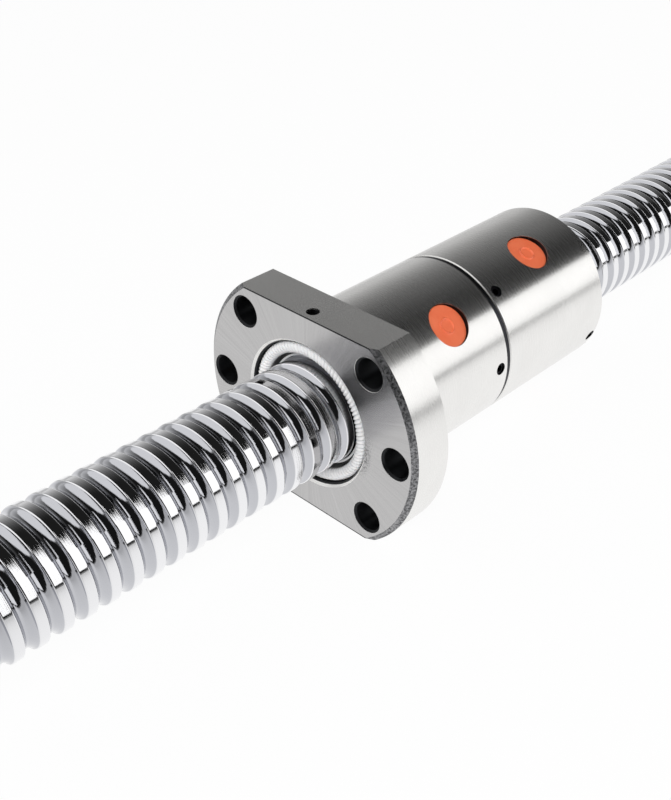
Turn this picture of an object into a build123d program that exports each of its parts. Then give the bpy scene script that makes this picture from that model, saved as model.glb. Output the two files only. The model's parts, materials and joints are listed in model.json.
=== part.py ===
from build123d import *
import math
import os

# Double ball nut on its screw, 25 mm nominal diameter and 5 mm lead, right-hand.
# Millimetres, +Z up. The origin is the centre of the flange's mounting face, on the screw's axis.
# The screw runs along X and the nut bodies point to +X. Angles are counted about X from +Y towards +Z.

# Screw and balls
lead = 5.0
ball_diameter = 3.175
ball_circle_radius = 12.75
screw_radius = 12.25
screw_start = -110.0
screw_end = 170.0
journal_radius = 10.5
journal_length = 6.0
journal_chamfer = 1.0
crest_phase = 3.8
ball_facing_angle = 40.0
groove_clearance = 0.03
screw_facets = 10
nut_facets = 8

# Flange
flange_radius = 31.0
flange_thickness = 10.0
flange_half_flats = 24.0
rim_chamfer_radial = 1.2
rim_chamfer_axial = 1.0
bolt_circle_radius = 25.5
bolt_hole_radius = 3.3
bolt_hole_chamfer = 0.5
bolt_angles = (0, 45, 135, 180, 225, 315)

# Nut bodies
body_radius = 20.0
front_body_length = 34.5
rear_body_length = 37.4
nut_land_radius = 12.9
edge_break = 0.3
rear_chamfer = 0.6
rear_seam_angle = 30.0

# Wiper seats and wipers
seat_radius = 16.6
seat_depth = 5.0
seat_chamfer = 0.8
seat_clearance = 0.05
wiper_recess = 0.6
wiper_shoulder = 1.1
wiper_bore_clearance = 0.15

# Spacer ring
spacer_thickness = 1.0
spacer_step = 0.2
spacer_bore_radius = 13.3
spacer_seat_gap = 0.3

# Ball returns: the step from one insert to the next, and the share of each nut's spare length between its
# seats that lies on the joint's side of them
insert_radius = 5.15
insert_clearance = 0.05
insert_face_radius = 18.3
inserts_per_nut = 3
insert_step_turns = 4 / 3
front_joint_share = 0.342
rear_joint_share = 0.816
crossing_reach = 4.2
crossing_lift_slope = 1.45
crossing_clearance = 0.12
channel_half_width = 1.9
ball_spacing_min = 3.25
path_samples = 720

# Grub screws
grub_radius = 1.4
grub_length = 3.0
grub_hole_clearance = 0.05
grub_socket_flats = 1.5
grub_socket_depth = 1.5
grub_inset = 2.7
rear_grub_inset = 2.1
flange_grub_angle = 90.0
rear_grub_angle = 201.0
front_joint_grub_angle = 176.6
rear_joint_grub_angle = 128.4

# Places along X that follow from the sizes above
ball_radius = ball_diameter / 2
flange_front = -flange_thickness
spacer_start = front_body_length
spacer_end = spacer_start + spacer_thickness
rear_end = spacer_end + rear_body_length
insert_step = lead * insert_step_turns
insert_row = insert_step * (inserts_per_nut - 1) + 2 * insert_radius
groove_phase = crest_phase + lead / 2


# Shapes turned about the X axis, from (x, radius) points
def turned(points):
    return revolve(make_face(Polyline(*points, close=True)), Axis.X)


def bar(start, end, radius):
    return turned([(start, 0), (start, radius), (end, radius), (end, 0)])


# A piece built with its own radial direction along +Y, turned to an angle and moved to x
def at_angle(shape, x, angle):
    return Pos(x, 0, 0) * Rotation(angle, 0, 0) * shape


# A round bar along +Y, between two distances from the screw's axis
def radial_bar(inner, outer, radius):
    bottom = (Align.CENTER, Align.CENTER, Align.MIN)
    return Pos(0, inner, 0) * Rotation(-90, 0, 0) * Cylinder(radius, outer - inner, align=bottom)


# The groove's section as (x, radius) corners: a floor and two flanks that all touch a circle a little
# larger than the ball. side is -1 for the screw's groove and +1 for the nut's.
def groove_profile(edge_radius, side):
    facing = math.radians(ball_facing_angle)
    room = ball_radius + groove_clearance
    corner = room * math.tan((math.pi / 2 - facing) / 2)
    rise = side * (edge_radius - ball_circle_radius)
    edge = (room - rise * math.sin(facing)) / math.cos(facing)
    floor = ball_circle_radius + side * room
    return [(-edge, edge_radius), (-corner, floor), (corner, floor), (edge, edge_radius)]


# A solid bounded by the helical groove and the lands between its turns, in flat facets so that fifty
# turns stay light. It runs past start and end by a lead or more. swell widens all radii, so that the
# middle of a facet stays clear of what runs inside.
def thread_core(start, end, profile, facets_per_turn, swell=1.0):
    first = groove_phase + lead * math.floor((start - groove_phase) / lead - 1)
    turns = math.ceil((end - first) / lead) + 1
    steps = turns * facets_per_turn
    last = len(profile) - 1

    def point(step, corner):
        angle = 2 * math.pi * step / facets_per_turn
        along, radius = profile[corner]
        x = first + lead * step / facets_per_turn + along
        return Vector(x, swell * radius * math.cos(angle), swell * radius * math.sin(angle))

    faces = []

    def facet(*corners):
        faces.append(Face(Wire.make_polygon(corners, close=True)))

    def strip(a, b, c, d):
        facet(a, b, c)
        facet(a, c, d)

    for step in range(steps):
        for corner in range(last):
            strip(point(step, corner), point(step + 1, corner),
                  point(step + 1, corner + 1), point(step, corner + 1))
    for step in range(steps - facets_per_turn):
        above = step + facets_per_turn
        strip(point(step, last), point(step + 1, last), point(above + 1, 0), point(above, 0))

    # Both ends are closed by fans of facets from points on the axis
    low = Vector(first - lead, 0, 0)
    high = Vector(first + lead * (turns + 1), 0, 0)
    top = steps - facets_per_turn
    for step in range(facets_per_turn):
        facet(low, point(step, 0), point(step + 1, 0))
        facet(high, point(top + step + 1, last), point(top + step, last))
    for corner in range(last):
        facet(low, point(0, corner), point(0, corner + 1))
        facet(high, point(steps, corner), point(steps, corner + 1))
    facet(low, point(0, last), point(facets_per_turn, 0))
    facet(high, point(steps, 0), point(top, last))
    return Solid(Shell(Face.sew_faces(faces)[0]))


def make_screw():
    start = screw_start + journal_length
    end = screw_end - journal_length
    depth = screw_radius - journal_radius
    thread = thread_core(start, end, groove_profile(screw_radius, -1), screw_facets)
    blank = turned([(start, 0), (start, journal_radius), (start + depth, screw_radius + edge_break),
                    (end - depth, screw_radius + edge_break), (end, journal_radius), (end, 0)])
    screw = thread & blank
    small = journal_radius - journal_chamfer
    screw += turned([(screw_start, 0), (screw_start, small), (screw_start + journal_chamfer, journal_radius),
                     (start, journal_radius), (start, 0)])
    screw += turned([(end, 0), (end, journal_radius), (screw_end - journal_chamfer, journal_radius),
                     (screw_end, small), (screw_end, 0)])
    return screw


# The room inside a nut: the grooved bore, a chamfered wiper seat at the outer end and a plain seat for
# the spacer's spigot at the joint
def nut_room(outer_end, joint):
    inward = 1 if joint > outer_end else -1
    wiper_floor = outer_end + inward * seat_depth
    spigot_floor = joint - inward * seat_depth
    swell = 1 / math.cos(math.pi / nut_facets)
    thread = thread_core(min(wiper_floor, spigot_floor), max(wiper_floor, spigot_floor),
                         groove_profile(nut_land_radius, 1), nut_facets, swell)
    wiper_seat = turned([(outer_end, 0), (outer_end, seat_radius + seat_chamfer),
                         (outer_end + inward * seat_chamfer, seat_radius),
                         (wiper_floor, seat_radius), (wiper_floor, 0)])
    return thread, wiper_seat, bar(min(joint, spigot_floor), max(joint, spigot_floor), seat_radius)


# Inserts as (x, angle), from a nut's first place that is free to its last, less the share of the spare length
# on the low side. Each is turned to sit over a crest of the screw's thread.
def insert_places(low, high, low_share):
    first = low + (high - low - insert_row) * low_share + insert_radius
    places = []
    for index in range(inserts_per_nut):
        x = first + index * insert_step
        places.append((x, 360 * (x - crest_phase) / lead % 360))
    return places


front_inserts = insert_places(flange_front + seat_depth, spacer_start - seat_depth, 1 - front_joint_share)
rear_inserts = insert_places(spacer_end + seat_depth, rear_end - seat_depth, rear_joint_share)


def cut_insert_holes(nut, places):
    for x, angle in places:
        nut -= at_angle(radial_bar(journal_radius, body_radius + edge_break, insert_radius), x, angle)
    return nut


def cut_grub_hole(nut, x, angle, outer):
    return nut - at_angle(radial_bar(journal_radius, outer, grub_radius + grub_hole_clearance), x, angle)


def bolt_hole():
    wide = bolt_hole_radius + bolt_hole_chamfer
    return turned([(flange_front, 0), (flange_front, wide),
                   (flange_front + bolt_hole_chamfer, bolt_hole_radius), (0, bolt_hole_radius), (0, 0)])


def make_flange_nut():
    face_radius = flange_radius - rim_chamfer_radial
    nut = turned([(flange_front, 0), (flange_front, face_radius),
                  (flange_front + rim_chamfer_axial, flange_radius), (0, flange_radius),
                  (0, body_radius), (front_body_length - edge_break, body_radius),
                  (front_body_length, body_radius - edge_break), (front_body_length, 0)])
    flat_depth = flange_radius - flange_half_flats
    for side in (-1, 1):
        middle = side * (flange_half_flats + flat_depth / 2)
        nut -= Pos(flange_front / 2, 0, middle) * Box(flange_thickness, 2 * flange_radius, flat_depth)
    hole = bolt_hole()
    for angle in bolt_angles:
        turn = math.radians(angle)
        nut -= Pos(0, bolt_circle_radius * math.cos(turn), bolt_circle_radius * math.sin(turn)) * hole
    for room in nut_room(flange_front, front_body_length):
        nut -= room
    nut = cut_insert_holes(nut, front_inserts)
    nut = cut_grub_hole(nut, flange_front + grub_inset, flange_grub_angle, flange_radius)
    return cut_grub_hole(nut, front_body_length - grub_inset, front_joint_grub_angle, flange_radius)


def make_rear_nut():
    nut = turned([(spacer_end, 0), (spacer_end, body_radius - edge_break),
                  (spacer_end + edge_break, body_radius), (rear_end - rear_chamfer, body_radius),
                  (rear_end, body_radius - rear_chamfer), (rear_end, 0)])
    nut = at_angle(nut, 0, rear_seam_angle)
    for room in nut_room(rear_end, spacer_end):
        nut -= room
    nut = cut_insert_holes(nut, rear_inserts)
    nut = cut_grub_hole(nut, spacer_end + grub_inset, rear_joint_grub_angle, flange_radius)
    return cut_grub_hole(nut, rear_end - rear_grub_inset, rear_grub_angle, flange_radius)


# The ring between the nuts, with a spigot in the inner seat of each
def make_spacer():
    outer = body_radius - spacer_step
    spigot = seat_radius - seat_clearance
    reach = seat_depth - spacer_seat_gap
    start = spacer_start - reach
    end = spacer_end + reach
    return turned([(start, spacer_bore_radius), (start, spigot), (spacer_start, spigot),
                   (spacer_start, outer), (spacer_end, outer), (spacer_end, spigot),
                   (end, spigot), (end, spacer_bore_radius)])


# A wiper ring between its shown face and its seat, with a sloped shoulder towards the face
def make_wiper(face, floor):
    outer = seat_radius - seat_clearance
    bore = screw_radius + wiper_bore_clearance
    inward = 1 if floor > face else -1
    return turned([(face, bore), (face, outer - wiper_shoulder), (face + inward * wiper_shoulder, outer),
                   (floor, outer), (floor, bore)])


# The way the balls take across an insert runs straight from one turn of the groove to the next
crossing_half_angle = crossing_reach / ball_circle_radius
crossing_offset = lead / 2 - lead * crossing_half_angle / (2 * math.pi)
crossing_slope = math.degrees(math.atan2(crossing_offset, crossing_reach))
crossing_lift = screw_radius + ball_radius + crossing_clearance - ball_circle_radius


# A return insert: a round plug that ends at the nut's bore, with the crossing channel in its foot
def make_insert(x, angle):
    foot = nut_land_radius + insert_clearance
    plug = radial_bar(foot, insert_face_radius, insert_radius - insert_clearance)
    roof = ball_circle_radius + crossing_lift
    length = 4 * insert_radius
    channel = Pos(0, roof / 2, 0) * Box(2 * channel_half_width, roof, length)
    channel += Pos(0, roof, 0) * Cylinder(channel_half_width, length)
    plug -= Rotation(0, -crossing_slope, 0) * channel
    return at_angle(plug, x, angle)


# A ball as eight flat facets with its corners on the true sphere, light because there are 150 of them
def make_ball():
    faces = []
    for a in (-ball_radius, ball_radius):
        for b in (-ball_radius, ball_radius):
            for c in (-ball_radius, ball_radius):
                trio = (Vector(a, 0, 0), Vector(0, b, 0), Vector(0, 0, c))
                faces.append(Face(Wire.make_polygon(trio, close=True)))
    return Solid(Shell(Face.sew_faces(faces)[0]))


# Ball centres of one ring as (x, angle, radius) about its insert: once round in the groove, then back
# over the crest, lifted by the insert
def ring_path():
    path = []
    for sample in range(path_samples + 1):
        angle = crossing_half_angle + 2 * (math.pi - crossing_half_angle) * sample / path_samples
        path.append((lead * angle / (2 * math.pi) - lead / 2, angle, ball_circle_radius))
    for sample in range(1, path_samples):
        across = 2 * sample / path_samples - 1
        angle = crossing_half_angle * across
        x = -crossing_offset * across
        side = -1 if across < 0 else 1
        groove_x = lead * angle / (2 * math.pi) - side * lead / 2
        lift = min(crossing_lift_slope * abs(x - groove_x), crossing_lift)
        path.append((x, 2 * math.pi + angle, ball_circle_radius + lift))
    return [Vector(x, r * math.cos(a), r * math.sin(a)) for x, a, r in path]


# Balls spread evenly along the closed path, one of them in the middle of the crossing
def ring_centres():
    path = ring_path()
    ends = path[1:] + path[:1]
    spans = [(b - a).length for a, b in zip(path, ends)]
    total = sum(spans)
    count = int(total / ball_spacing_min)
    middle = sum(spans[:path_samples + path_samples // 2])
    centres = []
    for number in range(count):
        wanted = (middle + number * total / count) % total
        index = 0
        while wanted > spans[index]:
            wanted -= spans[index]
            index += 1
        centres.append(path[index] + (ends[index] - path[index]) * (wanted / spans[index]))
    return centres


def make_ball_ring(ball, centres, x, angle):
    return at_angle(Compound([Pos(*centre) * ball for centre in centres]), x, angle)


# A grub screw that stands on the wiper or spigot, with a hexagon socket outwards
def make_grub(x, angle):
    outer = seat_radius + grub_length
    grub = radial_bar(seat_radius, outer, grub_radius)
    socket = extrude(RegularPolygon(grub_socket_flats / 2, 6, major_radius=False), grub_socket_depth)
    grub -= Pos(0, outer, 0) * Rotation(90, 0, 0) * socket
    return at_angle(grub, x, angle)


nodes = {
    "screw_shaft": make_screw(),
    "flange_nut": make_flange_nut(),
    "rear_nut": make_rear_nut(),
    "spacer_ring": make_spacer(),
    "front_wiper": make_wiper(flange_front + wiper_recess, flange_front + seat_depth),
    "rear_wiper": make_wiper(rear_end - wiper_recess, rear_end - seat_depth),
    "wiper_set_screws": Compound([make_grub(flange_front + grub_inset, flange_grub_angle),
                                  make_grub(rear_end - rear_grub_inset, rear_grub_angle)]),
    "joint_set_screws": Compound([make_grub(front_body_length - grub_inset, front_joint_grub_angle),
                                  make_grub(spacer_end + grub_inset, rear_joint_grub_angle)]),
}
ball = make_ball()
centres = ring_centres()
for nut_name, places in (("front", front_inserts), ("rear", rear_inserts)):
    for number, (x, angle) in enumerate(places, 1):
        nodes[f"return_cap_{nut_name}_{number}"] = make_insert(x, angle)
        nodes[f"balls_{nut_name}_{number}"] = make_ball_ring(ball, centres, x, angle)

os.makedirs("parts", exist_ok=True)
for name, shape in nodes.items():
    export_step(shape, f"parts/{name}.step")
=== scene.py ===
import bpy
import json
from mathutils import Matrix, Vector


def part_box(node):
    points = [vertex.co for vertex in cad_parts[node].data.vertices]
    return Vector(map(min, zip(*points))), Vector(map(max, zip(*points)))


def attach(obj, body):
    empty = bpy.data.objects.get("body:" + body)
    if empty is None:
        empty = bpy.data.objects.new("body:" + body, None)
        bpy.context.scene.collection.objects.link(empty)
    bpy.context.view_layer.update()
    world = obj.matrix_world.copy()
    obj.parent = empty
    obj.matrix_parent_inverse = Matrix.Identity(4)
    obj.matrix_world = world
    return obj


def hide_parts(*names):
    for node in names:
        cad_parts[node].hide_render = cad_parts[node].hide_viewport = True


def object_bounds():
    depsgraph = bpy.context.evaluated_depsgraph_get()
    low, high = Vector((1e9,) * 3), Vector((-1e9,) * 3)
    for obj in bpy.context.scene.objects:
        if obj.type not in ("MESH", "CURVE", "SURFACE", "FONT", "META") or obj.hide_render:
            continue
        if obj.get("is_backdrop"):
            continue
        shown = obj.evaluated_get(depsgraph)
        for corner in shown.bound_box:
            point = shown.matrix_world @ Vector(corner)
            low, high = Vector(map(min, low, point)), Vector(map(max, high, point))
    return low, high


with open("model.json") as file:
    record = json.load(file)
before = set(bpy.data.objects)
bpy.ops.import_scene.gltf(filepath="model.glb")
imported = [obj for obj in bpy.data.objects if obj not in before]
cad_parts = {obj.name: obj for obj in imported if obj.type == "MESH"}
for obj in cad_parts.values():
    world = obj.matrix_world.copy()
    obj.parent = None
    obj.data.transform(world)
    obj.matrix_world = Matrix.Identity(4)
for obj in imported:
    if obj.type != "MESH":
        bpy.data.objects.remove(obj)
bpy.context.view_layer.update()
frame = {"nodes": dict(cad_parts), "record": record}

import json
import math
import bmesh
import bpy
import numpy as np
from mathutils import Matrix, Vector

mm = 0.001
record = frame["record"]
nodes = frame["nodes"]
print("frame loaded:", len(nodes), "nodes")


def hexColour(text):
    # sRGB hex to linear: up to 0.04045 divide by 12.92, else ((c + 0.055) / 1.055) to the power 2.4
    parts = [int(text[i:i + 2], 16) / 255 for i in (1, 3, 5)]
    return tuple(c / 12.92 if c <= 0.04045 else ((c + 0.055) / 1.055) ** 2.4 for c in parts) + (1.0,)


def addNode(tree, kind, settings=None, inputs=None):
    # settings are the node's own properties; inputs are values or sockets by name or number
    node = tree.nodes.new(kind)
    for key, value in (settings or {}).items():
        setattr(node, key, value)
    for key, value in (inputs or {}).items():
        if isinstance(value, bpy.types.NodeSocket):
            tree.links.new(value, node.inputs[key])
        else:
            node.inputs[key].default_value = value
    return node


def newMaterial(name):
    material = bpy.data.materials.new(name)
    material.use_nodes = True
    material.node_tree.nodes.clear()
    return material, material.node_tree


def finishMaterial(tree, shader):
    addNode(tree, "ShaderNodeOutputMaterial", inputs={"Surface": shader})


def giveMaterial(obj, material):
    obj.data.materials.clear()
    obj.data.materials.append(material)


def meshFromGrid(name, points, merge):
    # points is rows x columns x 3 in mm; neighbours in rows and columns make quads, and points closer than
    # merge (in metres) become one
    rows, columns = points.shape[:2]
    index = np.arange(rows * columns).reshape(rows, columns)
    quads = np.stack([index[:-1, :-1], index[1:, :-1], index[1:, 1:], index[:-1, 1:]], -1).reshape(-1, 4)
    mesh = bpy.data.meshes.new(name)
    mesh.vertices.add(rows * columns)
    mesh.vertices.foreach_set("co", (points.reshape(-1) * mm).astype(np.float32))
    mesh.loops.add(len(quads) * 4)
    mesh.loops.foreach_set("vertex_index", quads.reshape(-1).astype(np.int32))
    mesh.polygons.add(len(quads))
    mesh.polygons.foreach_set("loop_start", (np.arange(len(quads)) * 4).astype(np.int32))
    mesh.update(calc_edges=True)
    mesh.validate()
    work = bmesh.new()
    work.from_mesh(mesh)
    bmesh.ops.remove_doubles(work, verts=work.verts, dist=merge)
    bmesh.ops.dissolve_degenerate(work, dist=merge, edges=work.edges)
    bmesh.ops.recalc_face_normals(work, faces=work.faces)
    work.to_mesh(mesh)
    work.free()
    mesh.shade_smooth()
    obj = bpy.data.objects.new(name, mesh)
    bpy.context.scene.collection.objects.link(obj)
    return obj


def markSharp(obj, degrees):
    # edges whose faces meet at more than the angle stay crisp
    work = bmesh.new()
    work.from_mesh(obj.data)
    limit = math.radians(degrees)
    for edge in work.edges:
        if len(edge.link_faces) == 2:
            edge.smooth = edge.calc_face_angle(0) < limit
    work.to_mesh(obj.data)
    work.free()


# sizes here and in the dictionaries below are in mm
screw = {
    "lead": 5.0, "start": -110.0, "end": 170.0, "crestRadius": 12.25, "ballCircle": 12.75,
    "crestAtX": 3.8,             # a crest centre on the +Y side
    "arcRadius": 1.66,           # of each half of the gothic groove
    "arcOffset": 0.07,           # how far each arc's centre lies past the groove's middle
    "edgeRound": 0.22,           # radius on the crest's edges
    "grooveHalfWidth": 1.5,
    "journalLength": 6.0, "journalRadius": 10.5, "journalChamfer": 1.0,
    "columns": 72,
}


def grooveRadius(offset):
    # offset is mm along X from the groove's centre. Inside the groove the radius is the ball circle less
    # the height of a circle arc whose centre is shifted past the middle (two arcs meet in a thin root
    # line); outside it is the crest, and a smooth minimum rounds the edge between the two.
    half = np.abs((offset + screw["lead"] / 2) % screw["lead"] - screw["lead"] / 2)
    arcEnd = screw["arcRadius"] * 0.999
    reach = np.clip(half + screw["arcOffset"], 0, arcEnd)
    arc = screw["ballCircle"] - np.sqrt(screw["arcRadius"] ** 2 - reach ** 2)
    soft = screw["edgeRound"] * 0.25
    blend = np.clip(0.5 + 0.5 * (screw["crestRadius"] - arc) / (2 * soft), 0, 1)
    smooth = arc * blend + screw["crestRadius"] * (1 - blend) - 2 * soft * blend * (1 - blend)
    return np.where(half + screw["arcOffset"] < arcEnd, smooth, screw["crestRadius"])


def makeScrew():
    lead = screw["lead"]
    start = screw["start"] + screw["journalLength"]
    end = screw["end"] - screw["journalLength"]
    angle = np.linspace(0, 2 * np.pi, screw["columns"] + 1)
    # rows across one lead, in mm from the groove's middle: closer together at its root and at the crest's edges
    edge = screw["grooveHalfWidth"]
    level = np.concatenate([[0, 0.06], np.linspace(0.25, edge - screw["edgeRound"], 4),
                            [edge - 0.08, edge, edge + 0.1, edge + 0.25, lead / 2]])
    level = np.concatenate([-level[::-1][:-1], level])[:-1]
    grooveX = screw["crestAtX"] + lead / 2
    first = math.floor((start - grooveX) / lead) - 2
    last = math.ceil((end - grooveX) / lead) + 1
    along = (grooveX + lead * np.arange(first, last + 1)[:, None] + level[None, :]).ravel()
    advance = lead * angle[None, :] / (2 * np.pi)
    x = np.clip(along[:, None] + advance, start, end)
    radius = grooveRadius(x - grooveX - advance)
    radius = np.minimum(radius, screw["journalRadius"] + np.minimum(x - start, end - x))
    # the journals and end faces are three more rows at each end, each with its x and radius
    chamfer = screw["journalChamfer"]
    small = screw["journalRadius"] - chamfer
    near = np.array([(screw["start"], 0.0), (screw["start"], small),
                     (screw["start"] + chamfer, screw["journalRadius"])])
    far = np.array([(screw["end"] - chamfer, screw["journalRadius"]), (screw["end"], small), (screw["end"], 0.0)])
    row = np.ones((1, len(angle)))
    x = np.vstack([near[:, :1] * row, x, far[:, :1] * row])
    radius = np.vstack([near[:, 1:] * row, radius, far[:, 1:] * row])
    points = np.stack([x, radius * np.cos(angle), radius * np.sin(angle)], -1)
    obj = meshFromGrid("ballScrew", points, merge=2e-6)
    markSharp(obj, 55)
    return obj


wiper = {
    "outer": 16.5, "bore": 12.42, "face": 0.5, "floor": 4.95, "edge": 0.12,
    "lipWidth": 0.5,
    "lip": 0.9,                  # how far the lip on the screw lies below the bead's foot
    "channel": 2.7,              # and the channel between the two
    "beadInner": 13.6, "beadOuter": 16.35, "beadHeight": 1.45,
    "ribs": 97, "ribHeight": 0.65, "ribTwist": 1.3, "columnsPerRib": 8,
}


def makeWiper(name, end, inward):
    # a closed section turned about X: lip, sloping face, ribbed bead, shoulder, wall and back. depth is mm
    # below the nut's end face. The bead is a half wave, and its ribs are the absolute sine of the angle,
    # turned on across the bead as the strands of a rope are, so the valleys between them are narrow.
    bead = np.linspace(0, np.pi, 15)
    middle = (wiper["beadInner"] + wiper["beadOuter"]) / 2
    halfWidth = (wiper["beadOuter"] - wiper["beadInner"]) / 2
    beadRadius = middle - halfWidth * np.cos(bead)
    top = wiper["face"] + wiper["beadHeight"]
    beadDepth = top - wiper["beadHeight"] * np.sin(bead) ** 0.8
    lip, channel = top + wiper["lip"], top + wiper["channel"]
    edge, width = wiper["edge"], wiper["lipWidth"]
    radius = np.concatenate([wiper["bore"] + np.array([0, edge, width, width + edge]), [wiper["beadInner"] - edge],
                             beadRadius, [wiper["outer"] - 0.1, wiper["outer"], wiper["outer"], wiper["bore"]]])
    depth = np.concatenate([[lip + 0.15, lip, lip + 0.1, channel, channel], beadDepth,
                            [top + 0.1, top + 0.35, wiper["floor"], wiper["floor"]]])
    # the ribs move only the bead: not the five points before it, and not the four after it
    before, after = np.zeros(5), np.zeros(4)
    ribbed = np.concatenate([before, np.sin(bead) ** 0.5, after])
    twist = np.concatenate([before, bead * wiper["ribTwist"], after])
    angle = np.linspace(0, 2 * np.pi, wiper["ribs"] * wiper["columnsPerRib"] + 1)
    rib = np.abs(np.sin(wiper["ribs"] * angle[None, :] / 2 + twist[:, None])) ** 0.7
    x = end + inward * (depth[:, None] + ribbed[:, None] * (1 - rib) * wiper["ribHeight"])
    points = np.stack([x, radius[:, None] * np.cos(angle), radius[:, None] * np.sin(angle)], -1)
    obj = meshFromGrid(name, np.vstack([points, points[:1]]), merge=2e-6)
    markSharp(obj, 70)
    return obj


cap = {
    "radius": 5.08, "faceRadius": 18.3, "thick": 0.72, "rimRound": 0.35,
    "rimDrop": 0.6,              # the rim's drop as a share of its rounding
    "sunk": 0.02,                # how far the disc's back lies inside the insert
    "ringRadius": 1.7, "ringWidth": 0.3, "ringHeight": 0.3,
}


def makeCapFace(name, x, degrees):
    # a shallow disc about the insert's own axis: rounded rim, flat face, one raised ring whose height is a
    # bell curve of the distance from the ring. Rows are closer together at the ring and round the rim.
    r = np.concatenate([np.linspace(0, 1.3, 5), np.linspace(1.4, 2.1, 12), np.linspace(2.3, 4.6, 8),
                        cap["radius"] - cap["rimRound"] * (1 - np.sin(np.linspace(0, np.pi / 2, 6)))])
    rim = np.clip((r - (cap["radius"] - cap["rimRound"])) / cap["rimRound"], 0, 1)
    height = cap["thick"] - cap["rimRound"] * cap["rimDrop"] * (1 - np.sqrt(1 - rim ** 2))
    height += cap["ringHeight"] * np.exp(-((r - cap["ringRadius"]) / (cap["ringWidth"] / 2)) ** 2)
    r = np.append(r, [cap["radius"], 0.0])
    height = np.append(height, [-cap["sunk"], -cap["sunk"]])
    turn = np.linspace(0, 2 * np.pi, 65)
    out = cap["faceRadius"] + height[:, None] + 0 * turn[None, :]
    along = r[:, None] * np.cos(turn)
    across = r[:, None] * np.sin(turn)
    a = math.radians(degrees)
    points = np.stack([x + along, out * math.cos(a) - across * math.sin(a),
                       out * math.sin(a) + across * math.cos(a)], -1)
    obj = meshFromGrid(name, points, merge=1e-6)
    markSharp(obj, 60)
    return obj


def objectParts(tree):
    # object coordinates in mm, their part across the axis, and the distance from the axis
    place = addNode(tree, "ShaderNodeTexCoord").outputs["Object"]
    scaled = addNode(tree, "ShaderNodeVectorMath", {"operation": "SCALE"}, {0: place, "Scale": 1 / mm})
    parts = addNode(tree, "ShaderNodeSeparateXYZ", inputs={0: scaled.outputs[0]})
    flat = addNode(tree, "ShaderNodeCombineXYZ", inputs={"Y": parts.outputs["Y"], "Z": parts.outputs["Z"]})
    radius = addNode(tree, "ShaderNodeVectorMath", {"operation": "LENGTH"}, {0: flat.outputs[0]})
    return {"place": scaled.outputs[0], "x": parts.outputs["X"], "y": parts.outputs["Y"],
            "z": parts.outputs["Z"], "flat": flat.outputs[0], "radius": radius.outputs["Value"]}


def math2(tree, operation, a, b=0.0, clamp=False):
    return addNode(tree, "ShaderNodeMath", {"operation": operation, "use_clamp": clamp}, {0: a, 1: b}).outputs[0]


def isAbove(tree, value, limit):
    return math2(tree, "GREATER_THAN", value, limit)


def isBelow(tree, value, limit):
    return math2(tree, "LESS_THAN", value, limit)


def together(tree, *masks):
    # where all the masks hold
    value = masks[0]
    for mask in masks[1:]:
        value = math2(tree, "MULTIPLY", value, mask)
    return value


def opposite(tree, mask):
    return math2(tree, "SUBTRACT", 1.0, mask)


def smoothMask(tree, value, low, high):
    return addNode(tree, "ShaderNodeMapRange", {"interpolation_type": "SMOOTHSTEP"},
                   {"Value": value, "From Min": low, "From Max": high}).outputs[0]


def mixValue(tree, factor, a, b):
    return addNode(tree, "ShaderNodeMix", inputs={0: factor, 2: a, 3: b}).outputs[0]


def mixColour(tree, factor, a, b):
    return addNode(tree, "ShaderNodeMix", {"data_type": "RGBA"}, {0: factor, 6: a, 7: b}).outputs[2]


def spread(tree, value, low, high):
    # noise from 0 to 1 becomes low to high
    return addNode(tree, "ShaderNodeMapRange", inputs={"Value": value, "To Min": low, "To Max": high}).outputs[0]


def noise(tree, place, scale, detail, roughness=0.5):
    return addNode(tree, "ShaderNodeTexNoise", inputs={"Vector": place, "Scale": scale, "Detail": detail,
                                                       "Roughness": roughness}).outputs["Fac"]


def turnedLines(tree, at, perMm):
    # noise that is stretched round the axis, so that its streaks follow the turning or grinding marks
    spot = addNode(tree, "ShaderNodeCombineXYZ", inputs={"X": math2(tree, "MULTIPLY", at["x"], perMm),
                                                          "Y": math2(tree, "MULTIPLY", at["radius"], perMm)})
    return noise(tree, spot.outputs[0], 1.0, 2.0, 0.6)


def acrossMarks(tree, flat, facing):
    # turning marks run round the axis and spread a highlight across themselves: along the axis on the
    # outside, and from the axis outwards on an end face
    turn = addNode(tree, "ShaderNodeVectorMath", {"operation": "CROSS_PRODUCT"}, {0: (1, 0, 0), 1: flat})
    across = addNode(tree, "ShaderNodeVectorMath", {"operation": "CROSS_PRODUCT"}, {0: facing, 1: turn.outputs[0]})
    unit = addNode(tree, "ShaderNodeVectorMath", {"operation": "NORMALIZE"}, {0: across.outputs[0]})
    return addNode(tree, "ShaderNodeVectorTransform",
                   {"vector_type": "VECTOR", "convert_from": "OBJECT", "convert_to": "WORLD"},
                   {0: unit.outputs[0]}).outputs[0]


nutSteel = {
    "steel": "#f6f5f3", "shade": "#ebeae8", "broadPerMm": 0.12, "gritPerMm": 1.9,
    "roughness": 0.26, "anisotropy": 0.75, "grindingPerMm": 11.0, "bump": 0.006,
    "slopeRoughness": 0.4,
    # face is the end faces' darker colour, a painted shade
    "face": "#bfbebe", "faceRoughness": 0.27, "faceStreaksPerTurn": 260, "faceStreak": (0.91, 1.04),
    "rimDark": "#48484a", "rimPale": "#b4b4b6", "rimGrit": (0.36, 0.66), "rimRoughness": 0.5, "rimCoarse": 20.0,
    # the bore colour is a painted shade for the holes and bores
    "bore": "#343537", "boreRoughness": 0.5,
    "scuff": "#8a8a8c", "scuffGrit": (0.47, 0.56), "scuffRoughness": 0.6, "scuffCoarse": 16.0,
    "scuffAt": (-10.0, -17.6, -3.0), "scuffReach": 6.5,
}

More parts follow.
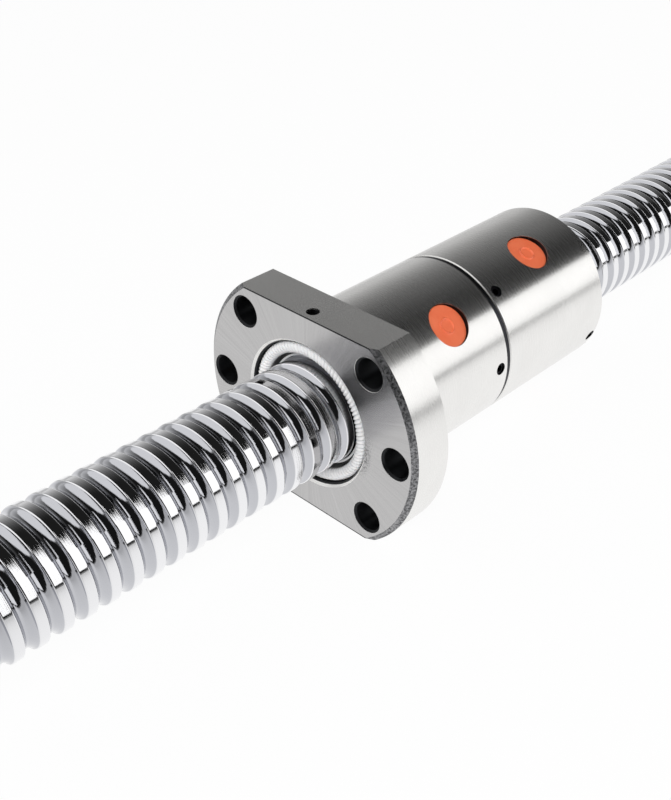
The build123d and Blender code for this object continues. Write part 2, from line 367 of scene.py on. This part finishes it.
# where the nuts' surfaces lie, for the masks
nutPlaces = {
    "flangeFront": -10.0, "flangeBack": 0.0, "rearEnd": 72.9, "flatHeight": 24.0,
    "rimRadius": 29.5,                               # where the flange's wide chamfer begins
    "boltCircle": 25.5, "boltRadius": 3.75,
    "seatRadius": 17.4,                              # of the wiper's counterbore
    "drilledEnds": (-9.5, -4.0), "drilledRadius": 23.7,
    "bodyRadius": 20.0, "bodySkin": 0.07,            # what lies deeper than the skin is in a hole
    "joint": 35.0, "jointHalf": 0.9, "jointSkin": 0.17,  # beside the joint the skin is this much thicker
}


def boltMask(tree, at):
    # distance from the nearest of four diagonal and two side holes
    half = nutPlaces["boltCircle"] / math.sqrt(2)
    near = []
    for holeY, holeZ in ((half, half), (nutPlaces["boltCircle"], 0.0)):
        gap = addNode(tree, "ShaderNodeCombineXYZ", inputs={"Y": math2(tree, "SUBTRACT", at["sideY"], holeY),
                                                             "Z": math2(tree, "SUBTRACT", at["sideZ"], holeZ)})
        length = addNode(tree, "ShaderNodeVectorMath", {"operation": "LENGTH"}, {0: gap.outputs[0]})
        near.append(length.outputs["Value"])
    hole = isBelow(tree, math2(tree, "MINIMUM", near[0], near[1]), nutPlaces["boltRadius"])
    return together(tree, hole, isBelow(tree, at["x"], nutPlaces["flangeBack"] - 0.05))


def holeMask(tree, at):
    # where the painted shade goes: on the bodies what lies below the outside's skin (insert holes, set screw holes
    # and bores), and on the flange the bolt holes, the wiper's seat and the hole drilled from the top flat
    offJoint = math2(tree, "ABSOLUTE", math2(tree, "SUBTRACT", at["x"], nutPlaces["joint"]))
    deeper = math2(tree, "MULTIPLY", isBelow(tree, offJoint, nutPlaces["jointHalf"]), nutPlaces["jointSkin"])
    limit = math2(tree, "SUBTRACT", nutPlaces["bodyRadius"] - nutPlaces["bodySkin"], deeper)
    body = together(tree, isBelow(tree, at["radius"], limit), isAbove(tree, at["x"], nutPlaces["flangeBack"] + 0.5),
                    isBelow(tree, at["x"], nutPlaces["rearEnd"] - 0.7))
    seat = together(tree, isBelow(tree, at["radius"], nutPlaces["seatRadius"] - 0.75),
                    isAbove(tree, at["x"], nutPlaces["flangeFront"] + 1.2))
    low, high = nutPlaces["drilledEnds"]
    drilled = together(tree, isBelow(tree, at["sideZ"], nutPlaces["flatHeight"] - 0.2),
                       isAbove(tree, at["x"], low), isBelow(tree, at["x"], high),
                       isBelow(tree, at["radius"], nutPlaces["drilledRadius"]))
    mask = boltMask(tree, at)
    for other in (body, seat, drilled):
        mask = math2(tree, "MAXIMUM", mask, other)
    return mask


def scuffMask(tree, at, grit, endFace):
    # flecks beside the counterbore where the grit is high, fading away from one spot
    spot = addNode(tree, "ShaderNodeVectorMath", {"operation": "DISTANCE"},
                   {0: at["place"], 1: nutSteel["scuffAt"]})
    far = smoothMask(tree, spot.outputs["Value"], 1.0, nutSteel["scuffReach"])
    outside = smoothMask(tree, at["radius"], nutPlaces["seatRadius"] + 0.4, nutPlaces["seatRadius"] + 2.2)
    return together(tree, opposite(tree, far), opposite(tree, outside),
                    smoothMask(tree, grit, *nutSteel["scuffGrit"]), endFace)


def makeNutSteel():
    # bearing steel, hardened and ground all over: bright, with fine marks that run round the axis. The holes and
    # the bores get a painted shade, the dark colour of their walls in shadow; the wide chamfer keeps the dark skin
    # of the heat treatment.
    material, tree = newMaterial("groundBearingSteel")
    at = objectParts(tree)
    at["sideY"] = math2(tree, "ABSOLUTE", at["y"])
    at["sideZ"] = math2(tree, "ABSOLUTE", at["z"])
    fine = turnedLines(tree, at, nutSteel["grindingPerMm"])
    broad = noise(tree, at["place"], nutSteel["broadPerMm"], 3.0)
    grit = noise(tree, at["place"], nutSteel["gritPerMm"], 5.0, 0.75)
    normal = addNode(tree, "ShaderNodeNewGeometry").outputs["True Normal"]
    facing = addNode(tree, "ShaderNodeVectorTransform",
                     {"vector_type": "NORMAL", "convert_from": "WORLD", "convert_to": "OBJECT"},
                     {0: normal}).outputs[0]
    facingX = addNode(tree, "ShaderNodeSeparateXYZ", inputs={0: facing}).outputs["X"]
    steep = math2(tree, "ABSOLUTE", facingX)
    endFace = smoothMask(tree, steep, 0.9, 0.97)
    # the wide chamfer round the flange: neither end face nor outside, and far from the axis
    slope = together(tree, smoothMask(tree, steep, 0.2, 0.3), opposite(tree, endFace))
    rim = together(tree, slope, smoothMask(tree, at["radius"], nutPlaces["rimRadius"] - 0.1,
                                           nutPlaces["rimRadius"] + 0.1))
    dark = holeMask(tree, at)
    scuff = scuffMask(tree, at, grit, endFace)
    # a thin dark line along the flats' front edges: painted shade at the edge
    line = together(tree, smoothMask(tree, at["sideZ"], nutPlaces["flatHeight"] - 0.32,
                                     nutPlaces["flatHeight"] - 0.22),
                    isBelow(tree, at["x"], nutPlaces["flangeFront"] + 0.12))
    # streaks from the axis outwards on the end faces, the turning marks with their highlights painted into the
    # colour: noise that follows only the direction round the axis
    spoke = addNode(tree, "ShaderNodeVectorMath", {"operation": "NORMALIZE"}, {0: at["flat"]})
    spokes = noise(tree, spoke.outputs[0], nutSteel["faceStreaksPerTurn"] / (2 * math.pi), 4.0, 0.65)
    low, high = nutSteel["faceStreak"]
    streak = addNode(tree, "ShaderNodeMapRange", inputs={"Value": spokes, "From Min": 0.3, "From Max": 0.7,
                                                          "To Min": low, "To Max": high}).outputs[0]
    streak = mixValue(tree, endFace, 1.0, streak)

    steel = mixColour(tree, broad, hexColour(nutSteel["steel"]), hexColour(nutSteel["shade"]))
    # the end faces get a darker colour than the outside: painted shade on the faces that look along the axis
    steel = mixColour(tree, endFace, steel, hexColour(nutSteel["face"]))
    steel = addNode(tree, "ShaderNodeVectorMath", {"operation": "SCALE"}, {0: steel, "Scale": streak}).outputs[0]
    gritty = mixColour(tree, smoothMask(tree, grit, *nutSteel["rimGrit"]), hexColour(nutSteel["rimDark"]),
                       hexColour(nutSteel["rimPale"]))
    colour = mixColour(tree, rim, steel, gritty)
    colour = mixColour(tree, scuff, colour, hexColour(nutSteel["scuff"]))
    # painted shade: the holes, the bores and the flats' edge line take the dark bore colour
    colour = mixColour(tree, math2(tree, "MAXIMUM", dark, line), colour, hexColour(nutSteel["bore"]))
    rough = spread(tree, fine, nutSteel["roughness"] * 0.75, nutSteel["roughness"] * 1.3)
    for mask, name in ((endFace, "faceRoughness"), (slope, "slopeRoughness"), (rim, "rimRoughness"),
                       (scuff, "scuffRoughness"), (dark, "boreRoughness")):
        rough = mixValue(tree, mask, rough, nutSteel[name])
    share = math2(tree, "ADD", math2(tree, "MULTIPLY", rim, nutSteel["rimCoarse"]),
                  math2(tree, "MULTIPLY", scuff, nutSteel["scuffCoarse"]))
    height = math2(tree, "ADD", fine, math2(tree, "MULTIPLY", grit, share))
    bump = addNode(tree, "ShaderNodeBump", inputs={"Height": height, "Strength": 0.35,
                                                    "Distance": nutSteel["bump"] * mm})
    shader = addNode(tree, "ShaderNodeBsdfPrincipled",
                     inputs={"Base Color": colour, "Metallic": 1.0, "Roughness": rough,
                             "Anisotropic": nutSteel["anisotropy"], "Normal": bump.outputs[0],
                             "Tangent": acrossMarks(tree, at["flat"], facing)})
    finishMaterial(tree, shader.outputs[0])
    return material


# the groove colour is a painted shade, darker than the crest's steel
screwSteel = {
    "steel": "#f0f0f2", "groove": "#c4c5ca", "roughness": 0.055, "marksAcrossLead": 22.0, "bump": 0.035,
}


def makeScrewSteel():
    # hardened steel, ground and polished: a near mirror. Its faint marks follow the thread: noise of the place
    # across the lead, as a point on a circle, so that every turn carries the same lines.
    material, tree = newMaterial("polishedScrewSteel")
    at = objectParts(tree)
    angle = math2(tree, "ARCTAN2", at["z"], at["y"])
    turns = math2(tree, "SUBTRACT", math2(tree, "MULTIPLY", at["x"], 2 * math.pi / screw["lead"]), angle)
    reach = screwSteel["marksAcrossLead"] / (2 * math.pi)
    spot = addNode(tree, "ShaderNodeCombineXYZ",
                   inputs={"X": math2(tree, "MULTIPLY", math2(tree, "COSINE", turns), reach),
                           "Y": math2(tree, "MULTIPLY", math2(tree, "SINE", turns), reach),
                           "Z": math2(tree, "MULTIPLY", at["radius"], 1.5)})
    marks = noise(tree, spot.outputs[0], 1.0, 3.0, 0.6)
    rough = spread(tree, marks, screwSteel["roughness"] * 0.5, screwSteel["roughness"] * 1.8)
    bump = addNode(tree, "ShaderNodeBump", inputs={"Height": marks, "Strength": 0.5,
                                                    "Distance": screwSteel["bump"] * mm})
    # the groove gets a greyer colour than the polished crest: painted shade in the groove
    crest = smoothMask(tree, at["radius"], screw["crestRadius"] - 0.3, screw["crestRadius"] - 0.06)
    colour = mixColour(tree, crest, hexColour(screwSteel["groove"]), hexColour(screwSteel["steel"]))
    shader = addNode(tree, "ShaderNodeBsdfPrincipled",
                     inputs={"Base Color": colour, "Metallic": 1.0, "Roughness": rough,
                             "Normal": bump.outputs[0]})
    finishMaterial(tree, shader.outputs[0])
    return material


def makePlainSteel(name, colour, roughness, perMm):
    # small turned parts: the same steel with coarser marks
    material, tree = newMaterial(name)
    marks = turnedLines(tree, objectParts(tree), perMm)
    rough = spread(tree, marks, roughness * 0.8, roughness * 1.3)
    shader = addNode(tree, "ShaderNodeBsdfPrincipled",
                     inputs={"Base Color": hexColour(colour), "Metallic": 1.0, "Roughness": rough})
    finishMaterial(tree, shader.outputs[0])
    return material


capPlastic = {
    "name": "orangeAcetal", "colour": "#f5835c", "second": "#ea6a42", "roughness": 0.38, "mottle": 2.5,
    "grain": 0.03, "waxy": 0.04,
}
wiperPlastic = {
    "name": "whiteAcetal", "colour": "#f1f1f1", "second": "#e9e9ea", "roughness": 0.24, "mottle": 4.0,
    "grain": 0.004, "waxy": 0.08,
    # painted shade darkens the channel between these two radii
    "channel": (wiper["bore"] + 0.45, wiper["beadInner"] + 0.05), "channelColour": "#5c5b5b",
}


def makePlastic(plastic):
    # moulded acetal: a soft sheen, slight mottling and a fine moulded grain
    material, tree = newMaterial(plastic["name"])
    at = objectParts(tree)
    mottle = noise(tree, at["place"], 1 / plastic["mottle"], 3.0)
    grain = noise(tree, at["place"], 3.0, 2.0)
    bump = addNode(tree, "ShaderNodeBump", inputs={"Height": grain, "Strength": 0.4,
                                                    "Distance": plastic["grain"] * mm})
    colour = mixColour(tree, mottle, hexColour(plastic["colour"]), hexColour(plastic["second"]))
    # painted shade in the channel between the lip and the bead, where the recess lies in shadow
    if "channel" in plastic:
        low, high = plastic["channel"]
        middle, half = (low + high) / 2, (high - low) / 2
        off = math2(tree, "ABSOLUTE", math2(tree, "SUBTRACT", at["radius"], middle))
        colour = mixColour(tree, smoothMask(tree, off, half * 0.8, half * 1.1),
                           hexColour(plastic["channelColour"]), colour)
    shader = addNode(tree, "ShaderNodeBsdfPrincipled",
                     inputs={"Base Color": colour, "Roughness": plastic["roughness"],
                             "Subsurface Weight": plastic["waxy"],
                             "Subsurface Radius": (0.8 * mm, 0.6 * mm, 0.5 * mm), "Subsurface Scale": 1.0,
                             "Normal": bump.outputs[0]})
    finishMaterial(tree, shader.outputs[0])
    return material


steelMaterial = makeNutSteel()
screwMaterial = makeScrewSteel()
spacerMaterial = makePlainSteel("turnedSpacerSteel", "#3c3c40", 0.35, 5.0)
ballMaterial = makePlainSteel("ballSteel", "#d5d6d8", 0.06, 3.0)
grubMaterial = makePlainSteel("blackGrubSteel", "#26262a", 0.4, 6.0)
capMaterial = makePlastic(capPlastic)
wiperMaterial = makePlastic(wiperPlastic)

finishes = {"nut_steel": steelMaterial, "screw_steel": screwMaterial, "spacer_steel": spacerMaterial,
            "ball_steel": ballMaterial, "set_screw_steel": grubMaterial, "cap_plastic": capMaterial,
            "wiper_plastic": wiperMaterial}
slotOf = {part["node"]: part["material_slot"] for part in record["subparts"]}
for nodeName, obj in nodes.items():
    giveMaterial(obj, finishes[slotOf[nodeName]])
print("materials made:", len(finishes))

screwPiece = makeScrew()
giveMaterial(screwPiece, screwMaterial)
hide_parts("screw_shaft")
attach(screwPiece, "screw")
print("screw:", len(screwPiece.data.polygons), "faces")

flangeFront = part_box("flange_nut")[0].x / mm
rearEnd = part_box("rear_nut")[1].x / mm
for pieceName, nodeName, end, inward in (("frontWiperRing", "front_wiper", flangeFront, 1),
                                         ("rearWiperRing", "rear_wiper", rearEnd, -1)):
    piece = makeWiper(pieceName, end, inward)
    giveMaterial(piece, wiperMaterial)
    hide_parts(nodeName)
    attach(piece, "nut")
print("wipers made")

for nodeName in sorted(nodes):
    if nodeName.startswith("return_cap"):
        low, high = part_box(nodeName)
        middle = (low + high) / 2
        # the insert's angle is where its outermost face centre lies
        corners = nodes[nodeName].data.vertices
        points = np.empty(len(corners) * 3, np.float32)
        corners.foreach_get("co", points)
        points = points.reshape(-1, 3) / mm
        outer = points[np.hypot(points[:, 1], points[:, 2]) > cap["faceRadius"] - 0.01]
        centre = outer[:, 1:].mean(0)
        piece = makeCapFace(nodeName.replace("return_cap", "capFace"), middle.x / mm,
                            math.degrees(math.atan2(centre[1], centre[0])))
        giveMaterial(piece, capMaterial)
        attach(piece, "nut")
print("cap faces made")


camera = {
    "place": (-0.14608, -0.14251, 0.13628), "right": (0.69869, -0.71542, -0.00364),
    "down": (-0.40167, -0.38806, -0.82950), "focalPixels": 1123.1, "imageHeight": 800,
}


def makeCamera():
    # right and down are the picture's own directions in the object's frame
    data = bpy.data.cameras.new("studioCamera")
    obj = bpy.data.objects.new("studioCamera", data)
    bpy.context.scene.collection.objects.link(obj)
    right = Vector(camera["right"]).normalized()
    up = -Vector(camera["down"])
    back = right.cross(up).normalized()
    up = back.cross(right)
    turn = Matrix((right, up, back)).transposed()
    obj.matrix_world = Matrix.Translation(camera["place"]) @ turn.to_4x4()
    data.sensor_fit = "VERTICAL"
    data.sensor_height = 24.0
    data.lens = data.sensor_height * camera["focalPixels"] / camera["imageHeight"]
    data.clip_start = 0.01
    bpy.context.scene.camera = obj


# metres, and levels where 1 is white
studio = {
    "floorSize": 6.0, "floorColour": "#ffffff", "floorShadow": 0.05,
    # how much darker polished steel sees the floor towards the camera, behind the object and past the panel,
    # and from where to where each of them fades in
    "floorFront": 0.4, "frontFade": (0.03, 0.2),
    "floorBack": 0.5, "backFade": (0.07, 0.3),
    "floorBeyond": 0.85, "beyondFrom": 0.5,
    "cardDistance": 0.6, "cardHeight": 0.5, "cardStart": 0.05, "cardLength": 2.5, "cardGap": 0.06,
    "cardLevel": 1.2,
    "overheadHeight": 0.5, "overheadCorners": ((-0.03, -0.06), (0.4, -0.6), (-0.06, -0.6)),
    "fillPlace": (-0.75, -0.75, 0.95), "fillSize": 0.7, "fillLevel": 7.0,
    "leftPlace": (-0.62, 0.47, 0.6), "leftDegrees": (38, 43), "leftLevel": 1.05,
    "backLevel": 0.75, "darkLevel": 0.012,
}


def makeFloor():
    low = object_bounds()[0].z
    half = studio["floorSize"] / 2
    mesh = bpy.data.meshes.new("floor")
    mesh.from_pydata([(-half, -half, low), (half, -half, low), (half, half, low), (-half, half, low)], [],
                     [(0, 1, 2, 3)])
    floor = bpy.data.objects.new("floor", mesh)
    bpy.context.scene.collection.objects.link(floor)
    material, tree = newMaterial("paleFloor")
    path = addNode(tree, "ShaderNodeLightPath")
    seen = math2(tree, "MAXIMUM", path.outputs["Is Camera Ray"],
                 math2(tree, "MAXIMUM", path.outputs["Is Glossy Ray"], path.outputs["Is Transmission Ray"]))
    part = math2(tree, "MULTIPLY", seen, 1 - studio["floorShadow"])
    # what polished steel sees of the floor is darker towards the camera's side and far behind the object
    way = addNode(tree, "ShaderNodeSeparateXYZ", inputs={0: addNode(tree, "ShaderNodeTexCoord").outputs["Object"]})
    toCamera = math2(tree, "MULTIPLY", math2(tree, "ADD", way.outputs["X"], way.outputs["Y"]), -0.707)
    front = math2(tree, "MULTIPLY", smoothMask(tree, toCamera, *studio["frontFade"]), studio["floorFront"])
    behind = math2(tree, "MULTIPLY", smoothMask(tree, way.outputs["Y"], *studio["backFade"]), studio["floorBack"])
    # past the white panel the room is dark, which leaves a thin line under the panel's reflection
    beyond = smoothMask(tree, math2(tree, "MULTIPLY", way.outputs["Y"], -1.0), studio["beyondFrom"],
                        studio["cardDistance"])
    darker = math2(tree, "MAXIMUM", math2(tree, "ADD", front, behind),
                   math2(tree, "MULTIPLY", beyond, studio["floorBeyond"]))
    darker = math2(tree, "MULTIPLY", darker, path.outputs["Is Glossy Ray"])
    matt = addNode(tree, "ShaderNodeBsdfDiffuse", inputs={"Color": hexColour(studio["floorColour"])})
    white = addNode(tree, "ShaderNodeEmission", inputs={"Color": (1, 1, 1, 1), "Strength": opposite(tree, darker)})
    mixed = addNode(tree, "ShaderNodeMixShader", inputs={0: part, 1: matt.outputs[0], 2: white.outputs[0]})
    finishMaterial(tree, mixed.outputs[0])
    giveMaterial(floor, material)
    floor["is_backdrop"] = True


def makeSidePanel():
    # a long white panel beside the object gives the bright lower half of every round part
    data = bpy.data.lights.new("sidePanel", "AREA")
    data.shape = "RECTANGLE"
    data.size = studio["cardLength"]
    data.size_y = studio["cardHeight"]
    data.energy = math.pi * data.size * data.size_y * studio["cardLevel"]
    panel = bpy.data.objects.new("sidePanel", data)
    bpy.context.scene.collection.objects.link(panel)
    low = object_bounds()[0].z
    panel.location = (studio["cardStart"] + studio["cardLength"] / 2, -studio["cardDistance"],
                      low + studio["cardGap"] + studio["cardHeight"] / 2)
    panel.rotation_euler = (math.radians(90), 0, 0)


def makeOverheadCard():
    # a three-cornered white card above, which only the polished steel shows: on the near end of the screw the
    # side panel's white then begins further up, as it does in the picture
    mesh = bpy.data.meshes.new("overheadCard")
    mesh.from_pydata([(x, y, studio["overheadHeight"]) for x, y in studio["overheadCorners"]], [], [(0, 1, 2)])
    card = bpy.data.objects.new("overheadCard", mesh)
    bpy.context.scene.collection.objects.link(card)
    material, tree = newMaterial("whiteCard")
    clear = addNode(tree, "ShaderNodeBsdfTransparent")
    white = addNode(tree, "ShaderNodeEmission", inputs={"Color": (1, 1, 1, 1), "Strength": studio["cardLevel"]})
    path = addNode(tree, "ShaderNodeLightPath")
    mixed = addNode(tree, "ShaderNodeMixShader",
                    inputs={0: path.outputs["Is Glossy Ray"], 1: clear.outputs[0], 2: white.outputs[0]})
    finishMaterial(tree, mixed.outputs[0])
    giveMaterial(card, material)
    card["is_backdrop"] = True


def makeFill():
    # a softbox beside the camera lights the plastic parts; polished steel doesn't show it
    data = bpy.data.lights.new("fillBox", "AREA")
    data.shape = "SQUARE"
    data.size = studio["fillSize"]
    place = Vector(studio["fillPlace"])
    data.energy = studio["fillLevel"] * place.length ** 2
    box = bpy.data.objects.new("fillBox", data)
    bpy.context.scene.collection.objects.link(box)
    box.location = place
    box.rotation_euler = place.to_track_quat("Z", "Y").to_euler()
    box.visible_glossy = False


def worldPatch(tree, way, centre, inner, outer):
    # 1 within the inner angle of a direction, fading to 0 at the outer angle
    unit = Vector(centre).normalized()
    cosine = addNode(tree, "ShaderNodeVectorMath", {"operation": "DOT_PRODUCT"}, {0: way, 1: tuple(unit)})
    return smoothMask(tree, cosine.outputs["Value"], math.cos(math.radians(outer)), math.cos(math.radians(inner)))


def makeWorld():
    # the room: dark above and behind the camera, a white card to the left and a grey wall at the back
    world = bpy.data.worlds.new("studioRoom")
    bpy.context.scene.world = world
    world.use_nodes = True
    tree = world.node_tree
    tree.nodes.clear()
    way = addNode(tree, "ShaderNodeTexCoord").outputs["Generated"]
    parts = addNode(tree, "ShaderNodeSeparateXYZ", inputs={0: way})
    left = math2(tree, "MULTIPLY", worldPatch(tree, way, studio["leftPlace"], *studio["leftDegrees"]),
                 studio["leftLevel"])
    low = math2(tree, "POWER", math2(tree, "SUBTRACT", 1.0, parts.outputs["Z"], True), 2.0)
    back = math2(tree, "MULTIPLY", low, smoothMask(tree, parts.outputs["Y"], -0.3, 0.3))
    back = math2(tree, "MULTIPLY", back, studio["backLevel"])
    level = math2(tree, "MAXIMUM", math2(tree, "MAXIMUM", left, back), studio["darkLevel"])
    path = addNode(tree, "ShaderNodeLightPath")
    level = mixValue(tree, path.outputs["Is Camera Ray"], level, 1.0)
    shade = addNode(tree, "ShaderNodeBackground", inputs={"Color": (1, 1, 1, 1), "Strength": level})
    addNode(tree, "ShaderNodeOutputWorld", inputs={"Surface": shade.outputs[0]})


makeCamera()
makeFloor()
makeSidePanel()
makeOverheadCard()
makeFill()
makeWorld()
bpy.context.scene.view_settings.view_transform = "Standard"
print("camera, floor and light made")
